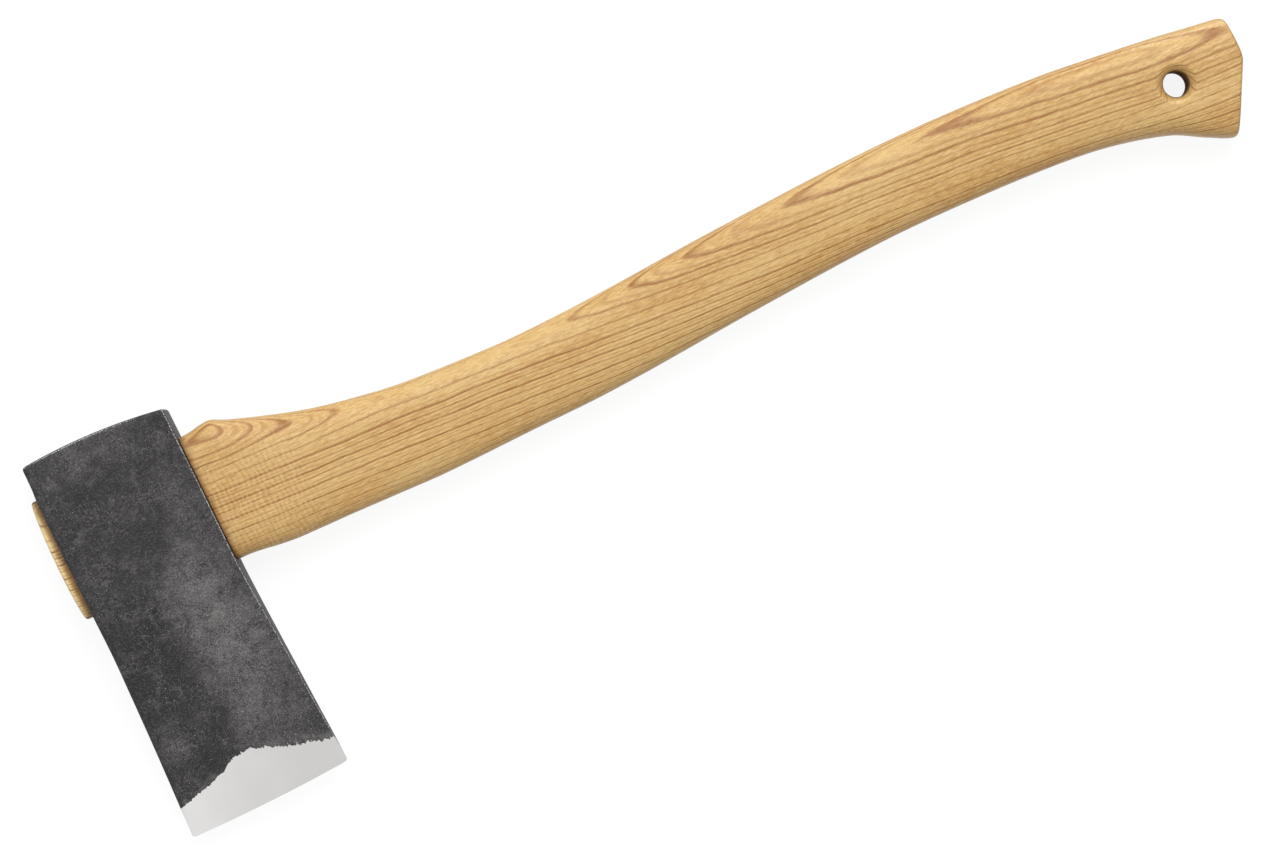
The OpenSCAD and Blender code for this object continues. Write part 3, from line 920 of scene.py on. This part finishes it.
def buildHaft():
    rings = tenonRings()
    count = haft["points"]
    rounding = haft["endRounding"]
    wild = len(rings) + 5  # sections before this one must fit the head, those after it may wander
    # Shoulder: follows the side of the head, with its edge just broken
    turn = evenTurns(headSide)
    y, z = haftSection(headSide, turn)
    shoulderHalf = (27.4, 12)
    seat = alongRows(headSides, y, 2) + haft["shoulderGap"]
    root = tenonOval(28.4, -0.12)
    rings.append(np.column_stack([np.minimum(alongRows(headSides, root[:, 1], 2), 30) - 0.3, root[:, 1:]]))
    rings.append(np.column_stack([seat - 0.05, root[:, 1] * 1.03, root[:, 2] * 1.06]))
    for drawIn, along in ((0.45, 0.0), (0.15, 0.12), (0.0, 0.45)):
        middle = (y.max() + y.min()) / 2
        rings.append(np.column_stack([
            seat + along,
            middle + (y - middle) * (1 - drawIn / shoulderHalf[0]),
            z * (1 - drawIn / shoulderHalf[1]),
        ]))
    # The end of the knob is cut on a slant, so the last sections lean with it
    endTurn = evenTurns(haftEnd - 2)
    lean = np.zeros(count)
    for nearer in range(12):
        lean = alongRows(knobEnd, haftSection(haftEnd - lean, endTurn)[0], 1)
    places = np.concatenate([
        np.arange(32.2, 60, 1.1),
        np.arange(60, 400, 2.6),
        np.arange(400, haftEnd - rounding - 0.4, 1.4),
        [haftEnd - rounding],
    ])
    for place in places:
        turn = evenTurns(place)
        tilt = float(easeStep(404, haftEnd - 1, place)) if place < haftEnd - rounding else 1.0
        follow = 1 - float(easeStep(32, 38, place))
        x = place - tilt * lean
        y, z = haftSection(x, turn)
        x = x + follow * (alongRows(headSides, y, 2) + haft["shoulderGap"] - headSide + 0.2)
        y, z = haftSection(np.maximum(x, headSide), turn)
        rings.append(np.column_stack([x, y, z]))
    wall = rings[-1]
    centreY = (wall[:, 1].max() + wall[:, 1].min()) / 2
    halfY = (wall[:, 1].max() - wall[:, 1].min()) / 2
    halfZ = wall[:, 2].max()

    def endRing(scale, inward, back):
        y = centreY + (wall[:, 1] - centreY) * scale * (1 - inward / halfY)
        z = wall[:, 2] * scale * (1 - inward / halfZ)
        return np.column_stack([haftEnd - alongRows(knobEnd, y, 1) - back, y, z])

    for angle in np.radians([18, 36, 54, 72, 90]):
        rings.append(endRing(1, rounding * (1 - math.cos(angle)), rounding * (1 - math.sin(angle))))
    for scale in (0.97, 0.9, 0.8, 0.7, 0.6, 0.5, 0.4, 0.3, 0.2, 0.1, 0.04):
        rings.append(endRing(scale, rounding, 0))
    for ring in rings[wild:]:
        # long, slight unevenness of a hand-sanded haft
        x, y, z = ring.T
        wave = 0.6 * lumps(x * 0.25, y, z, 9, 2) + 0.4 * lumps(x * 0.5, y, z, 5, 6)
        swell = easeStep(31, 36, x) * haft["handFinish"] * (wave - 0.4)
        ring[:, 1] += swell * np.sign(y - haft["middle"]) * 0.6
        ring[:, 2] += swell * np.sign(z)
    return meshPiece("haft.body", *loft(rings))


def hangHoleTool():
    face = float(haftMeasures(holeX)[2]) / 2
    sink = haft["sinkDepth"]
    # one mouth of the hole: distance beyond the bore, height
    mouth = [
        (0, face - sink - 0.35), (0.12, face - sink), (0.5, face - sink + 0.45),
        (sink * 0.75, face - sink * 0.25 - 0.05), (sink + 0.15, face - 0.12),
        (sink + 0.8, face + 0.12), (sink + 3.0, face + 0.8),
    ]
    angle = np.linspace(0, 2 * math.pi, turningSteps, endpoint=False)
    rings = []
    for beyond, height in [(beyond, -height) for beyond, height in mouth[::-1]] + mouth:
        x = holeX + (boreRadius + beyond) * np.cos(angle)
        y = holeY + (boreRadius + beyond) * np.sin(angle)
        rings.append(np.column_stack([x, y, np.full(turningSteps, height)]))
    return meshPiece("holeTool", *loft(rings))


wedges = {
    "depth": 45.0,           # how deep the sawn kerf goes
    "head": 7.0,             # thickness of the wooden wedge at the end
    "tip": 2.0,
    "ringDiameter": 16.0,
    "ringWall": 1.8,
    "ringDepth": 20.0,
    "ringSunk": 0.25,        # the ring is driven just below the sawn end
    "ringLip": 0.35,         # rounding of its upper edges
    "gap": 0.05,
}
# The ring's wall tapers to a third of its thickness: outer radius, wall, tip
ringOuter = wedges["ringDiameter"] / 2
ringWall = wedges["ringWall"]
ringTip = ringWall / 3


def kerfTool(name, gap):
    # plank that tapers into the tenon; it starts outside, where it is a little thicker still
    outside, spread, reach = 6, 0.33, 40
    ends = [(-outside, spread + wedges["head"] / 2 + gap), (wedges["depth"] + gap, wedges["tip"] / 2 + gap)]
    rings = []
    for along, half in ends:
        x = endFace + along
        rings.append([(x, -reach, -half), (x, reach, -half), (x, reach, half), (x, -reach, half)])
    return meshPiece(name, *loft(rings))


def turned(name, profile):
    # hollow turning about x: the profile is closed on itself
    points, faces = [], []
    size = len(profile)
    for step in range(turningSteps):
        angle = 2 * math.pi * step / turningSteps
        for radius, along in profile:
            points.append((endFace + along, radius * math.cos(angle), radius * math.sin(angle)))
    for step in range(turningSteps):
        after = (step + 1) % turningSteps
        for k in range(size):
            n = (k + 1) % size
            faces.append((step * size + k, step * size + n, after * size + n, after * size + k))
    return meshPiece(name, points, faces)


def grooveTool():
    # room for the ring, open at the sawn end
    gap = wedges["gap"]
    above, below = -6, wedges["ringDepth"] + gap
    outer, inner = ringOuter + gap, ringOuter - ringWall - gap
    return turned("grooveTool", [
        (inner, above), (outer, above), (outer, 0), (ringOuter - (ringWall - ringTip) / 2 + gap, below),
        (ringOuter - (ringWall + ringTip) / 2 - gap, below), (inner, 0),
    ])


haftPiece = buildHaft()
print("haft lofted:", len(haftPiece.data.vertices), "points")
wedgePiece = meshPiece("wedge.wood", *loft(tenonRings()))
shapeWith(wedgePiece, grooveTool(), "DIFFERENCE")
shapeWith(wedgePiece, kerfTool("plankTool", 0), "INTERSECT")
shapeWith(haftPiece, hangHoleTool(), "DIFFERENCE")
shapeWith(haftPiece, kerfTool("kerfTool", wedges["gap"]), "DIFFERENCE")
shapeWith(haftPiece, grooveTool(), "DIFFERENCE")
dropSlivers(wedgePiece)
dropSlivers(haftPiece)
print("haft cut for its wedges and hanging hole")

x, y, z = pointsOf(haftPiece)
# darker near the head: oil stain, with painted shade where the wood meets the steel
nearHead = np.maximum(easeStep(33.5, 30.6, x) * (x > 29), easeStep(-33.9, -31.9, x) * (x < 0))
markPoints(haftPiece, "stainAndShade", nearHead)
# dark sawn ends: end grain, plus painted shade on the knob's rounded rim
rimDistance = haftEnd - alongRows(knobEnd, y, 1) - x
markPoints(haftPiece, "endGrainAndRimShade", np.maximum(easeStep(1.3, 0.1, rimDistance), easeStep(-34.7, -35.1, x)))
# the proud tenon is drawn pale: fresh-cut wood, with a painted highlight on its outer end
markPoints(haftPiece, "freshCutAndHighlight", easeStep(-32.4, -34.0, x))
markPoints(haftPiece, "rasped", easeStep(78, 62, x) * easeStep(29, 33, x) * easeStep(20, -6, y))
fromHole = np.hypot(x - holeX, y - holeY)
# the bore's wall is drawn dark brown: painted shade inside the hole
markPoints(haftPiece, "bored", easeStep(boreRadius + 0.7, boreRadius + 0.2, fromHole))


def woodMaterial():
    looks = {
        "pale": colour(213, 176, 112),
        "warm": colour(200, 156, 90),
        "light": colour(232, 200, 140),
        "line": colour(146, 88, 32),
        "freshCutAndHighlight": colour(253, 226, 164),
        "stainAndShade": colour(132, 84, 38),
        "dark": colour(100, 62, 28),
    }
    material, tree, shader = newMaterial("haftWood", looks["pale"])
    grain = useGroup(tree, woodGrain)
    stainAndShade, endGrainAndRimShade, rasped, freshCutAndHighlight, bored = (
        marked(tree, name) for name in ("stainAndShade", "endGrainAndRimShade", "rasped", "freshCutAndHighlight", "bored")
    )
    point = pointInMm(tree)
    base = blend(tree, between(tree, grain["Patches"], 0.35, 0.7), looks["pale"], looks["warm"])
    base = blend(tree, between(tree, grain["Fibres"], 0.5, 0.7, 0.0, 0.46), base, looks["line"])
    base = blend(tree, between(tree, grain["Fibres"], 0.54, 0.34, 0.0, 0.7), base, looks["light"])
    # the pale proud tenon is fresh-cut wood and a painted highlight
    base = layered(
        tree, base, looks,
        (freshCutAndHighlight, 0.85, "freshCutAndHighlight"), (grain["Lines"], 0.95, "line"), (grain["Pores"], 0.4, "dark"),
    )
    # ripples left across the grain by the rasp, beside the head
    along = addNode(tree, "ShaderNodeSeparateXYZ", {0: point}).outputs["X"]
    bend = cloud(tree, point, (0.1, 0.16, 0.16), (4, 1, 3))
    ripple = calc(tree, "SINE", calc(tree, "MULTIPLY_ADD", along, 2.9, times(tree, bend, 13.0)))
    bitten = cloud(tree, point, (0.16, 0.7, 0.7), (1, 7, 5))
    bitten = times(tree, between(tree, bitten, 0.36, 0.54), rasped)
    trough = times(tree, between(tree, ripple, 0.1, -0.9), bitten)
    ripple = times(tree, between(tree, ripple, -0.4, 0.9), bitten)
    base = layered(tree, base, looks, (ripple, 0.2, "light"), (trough, 0.17, "line"))
    # sawn ends: brown end grain, with short dark cracks; on the knob's rounded rim the brown is also
    # painted shade
    cracks = cloud(tree, point, (0.2, 1.1, 1.1), (9, 2, 6), roughness=0.6)
    cracks = between(tree, cracks, 0.56, 0.66)
    base = layered(tree, base, looks, (endGrainAndRimShade, 0.3, "line"), (times(tree, cracks, endGrainAndRimShade), 0.5, "dark"))
    # near the head the wood goes dark brown: oil stain, and painted shade at the joint with the steel
    stainAndShadeStrength = calc(tree, "MULTIPLY_ADD", cracks, 0.3, 0.6)
    # the bore's wall goes dark brown as painted shade
    base = layered(
        tree, base, looks,
        (stainAndShade, stainAndShadeStrength, "stainAndShade"), (times(tree, cracks, stainAndShade), 0.7, "dark"), (bored, 0.75, "dark"),
    )
    rough = between(tree, grain["Fibres"], 0.3, 0.7, 0.42, 0.54)
    rough = calc(tree, "MULTIPLY_ADD", grain["Pores"], 0.12, rough)
    # the bored wall is rough and takes no oil
    oiled = calc(tree, "SUBTRACT", 1.0, bored)
    rough = calc(tree, "MAXIMUM", rough, times(tree, bored, 0.95))
    height = calc(tree, "SUBTRACT", times(tree, grain["Fibres"], 0.5), grain["Pores"])
    height = calc(tree, "MULTIPLY_ADD", ripple, 1.2, height)
    bump = addNode(tree, "ShaderNodeBump", {"Strength": 0.35, "Distance": 0.0001, "Height": height})
    shader.inputs["Coat Roughness"].default_value = 0.35
    shader.inputs["Specular IOR Level"].default_value = 0.4
    coat = times(tree, oiled, 0.12)
    plug(tree, shader, Base_Color=base, Roughness=rough, Coat_Weight=coat, Normal=bump.outputs[0])
    return material


haftPiece.data.materials.clear()
haftPiece.data.materials.append(woodMaterial())
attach(haftPiece, "root")
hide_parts("haft")
print("haft finished")

# Wedges


def wedgeMaterial():
    material, tree, shader = newMaterial("wedgeWood", colour(141, 98, 56))
    grain = useGroup(tree, woodGrain, {
        "Pith Height": 4.0, "Pith Depth": 66.0, "Line Width": 0.5, "Run Out": 0.02,
    })
    pale, deep = colour(160, 114, 68), colour(128, 86, 48)
    base = blend(tree, between(tree, grain["Patches"], 0.35, 0.7), pale, deep)
    base = blend(tree, times(tree, grain["Lines"], 0.55), base, colour(84, 54, 30))
    base = blend(tree, times(tree, grain["Pores"], 0.6), base, colour(56, 36, 22))
    rough = between(tree, grain["Fibres"], 0.3, 0.7, 0.5, 0.65)
    bump = addNode(tree, "ShaderNodeBump", {"Strength": 0.4, "Distance": 0.0001, "Height": grain["Fibres"]})
    plug(tree, shader, Base_Color=base, Roughness=rough, Normal=bump.outputs[0])
    return material


def ringMaterial():
    material, tree, shader = newMaterial("ringSteel", colour(143, 145, 148))
    skin = useGroup(tree, steelSkin, {"Cloud Size": 3.0, "Pit Size": 2.0})
    clean, dull = colour(168, 168, 170), colour(112, 108, 104)
    base = blend(tree, between(tree, skin["Blotches"], 0.4, 0.65), clean, dull)
    base = blend(tree, times(tree, skin["Specks"], 0.4), base, colour(70, 58, 48))
    rough = between(tree, skin["Scratches"], 0.3, 0.7, 0.3, 0.48)
    bump = addNode(tree, "ShaderNodeBump", {"Strength": 0.4, "Distance": 0.0001, "Height": skin["Pits"]})
    shader.inputs["Metallic"].default_value = 0.95
    plug(tree, shader, Base_Color=base, Roughness=rough, Normal=bump.outputs[0])
    return material


wedgePiece.data.materials.clear()
wedgePiece.data.materials.append(wedgeMaterial())
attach(wedgePiece, "root")
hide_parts("wood_wedge")

inner = ringOuter - ringWall
top, lip, bottom = wedges["ringSunk"], wedges["ringLip"], wedges["ringDepth"]
ringPiece = turned("wedge.ring", [
    (inner, top + lip), (inner + lip * 0.3, top + lip * 0.3), (inner + lip, top),
    (ringOuter - lip, top), (ringOuter - lip * 0.3, top + lip * 0.3), (ringOuter, top + lip),
    (ringOuter - (ringWall - ringTip) / 2, bottom), (ringOuter - (ringWall + ringTip) / 2, bottom),
])
ringPiece.data.materials.append(ringMaterial())
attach(ringPiece, "root")
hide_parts("ring_wedge")
print("wedges finished")
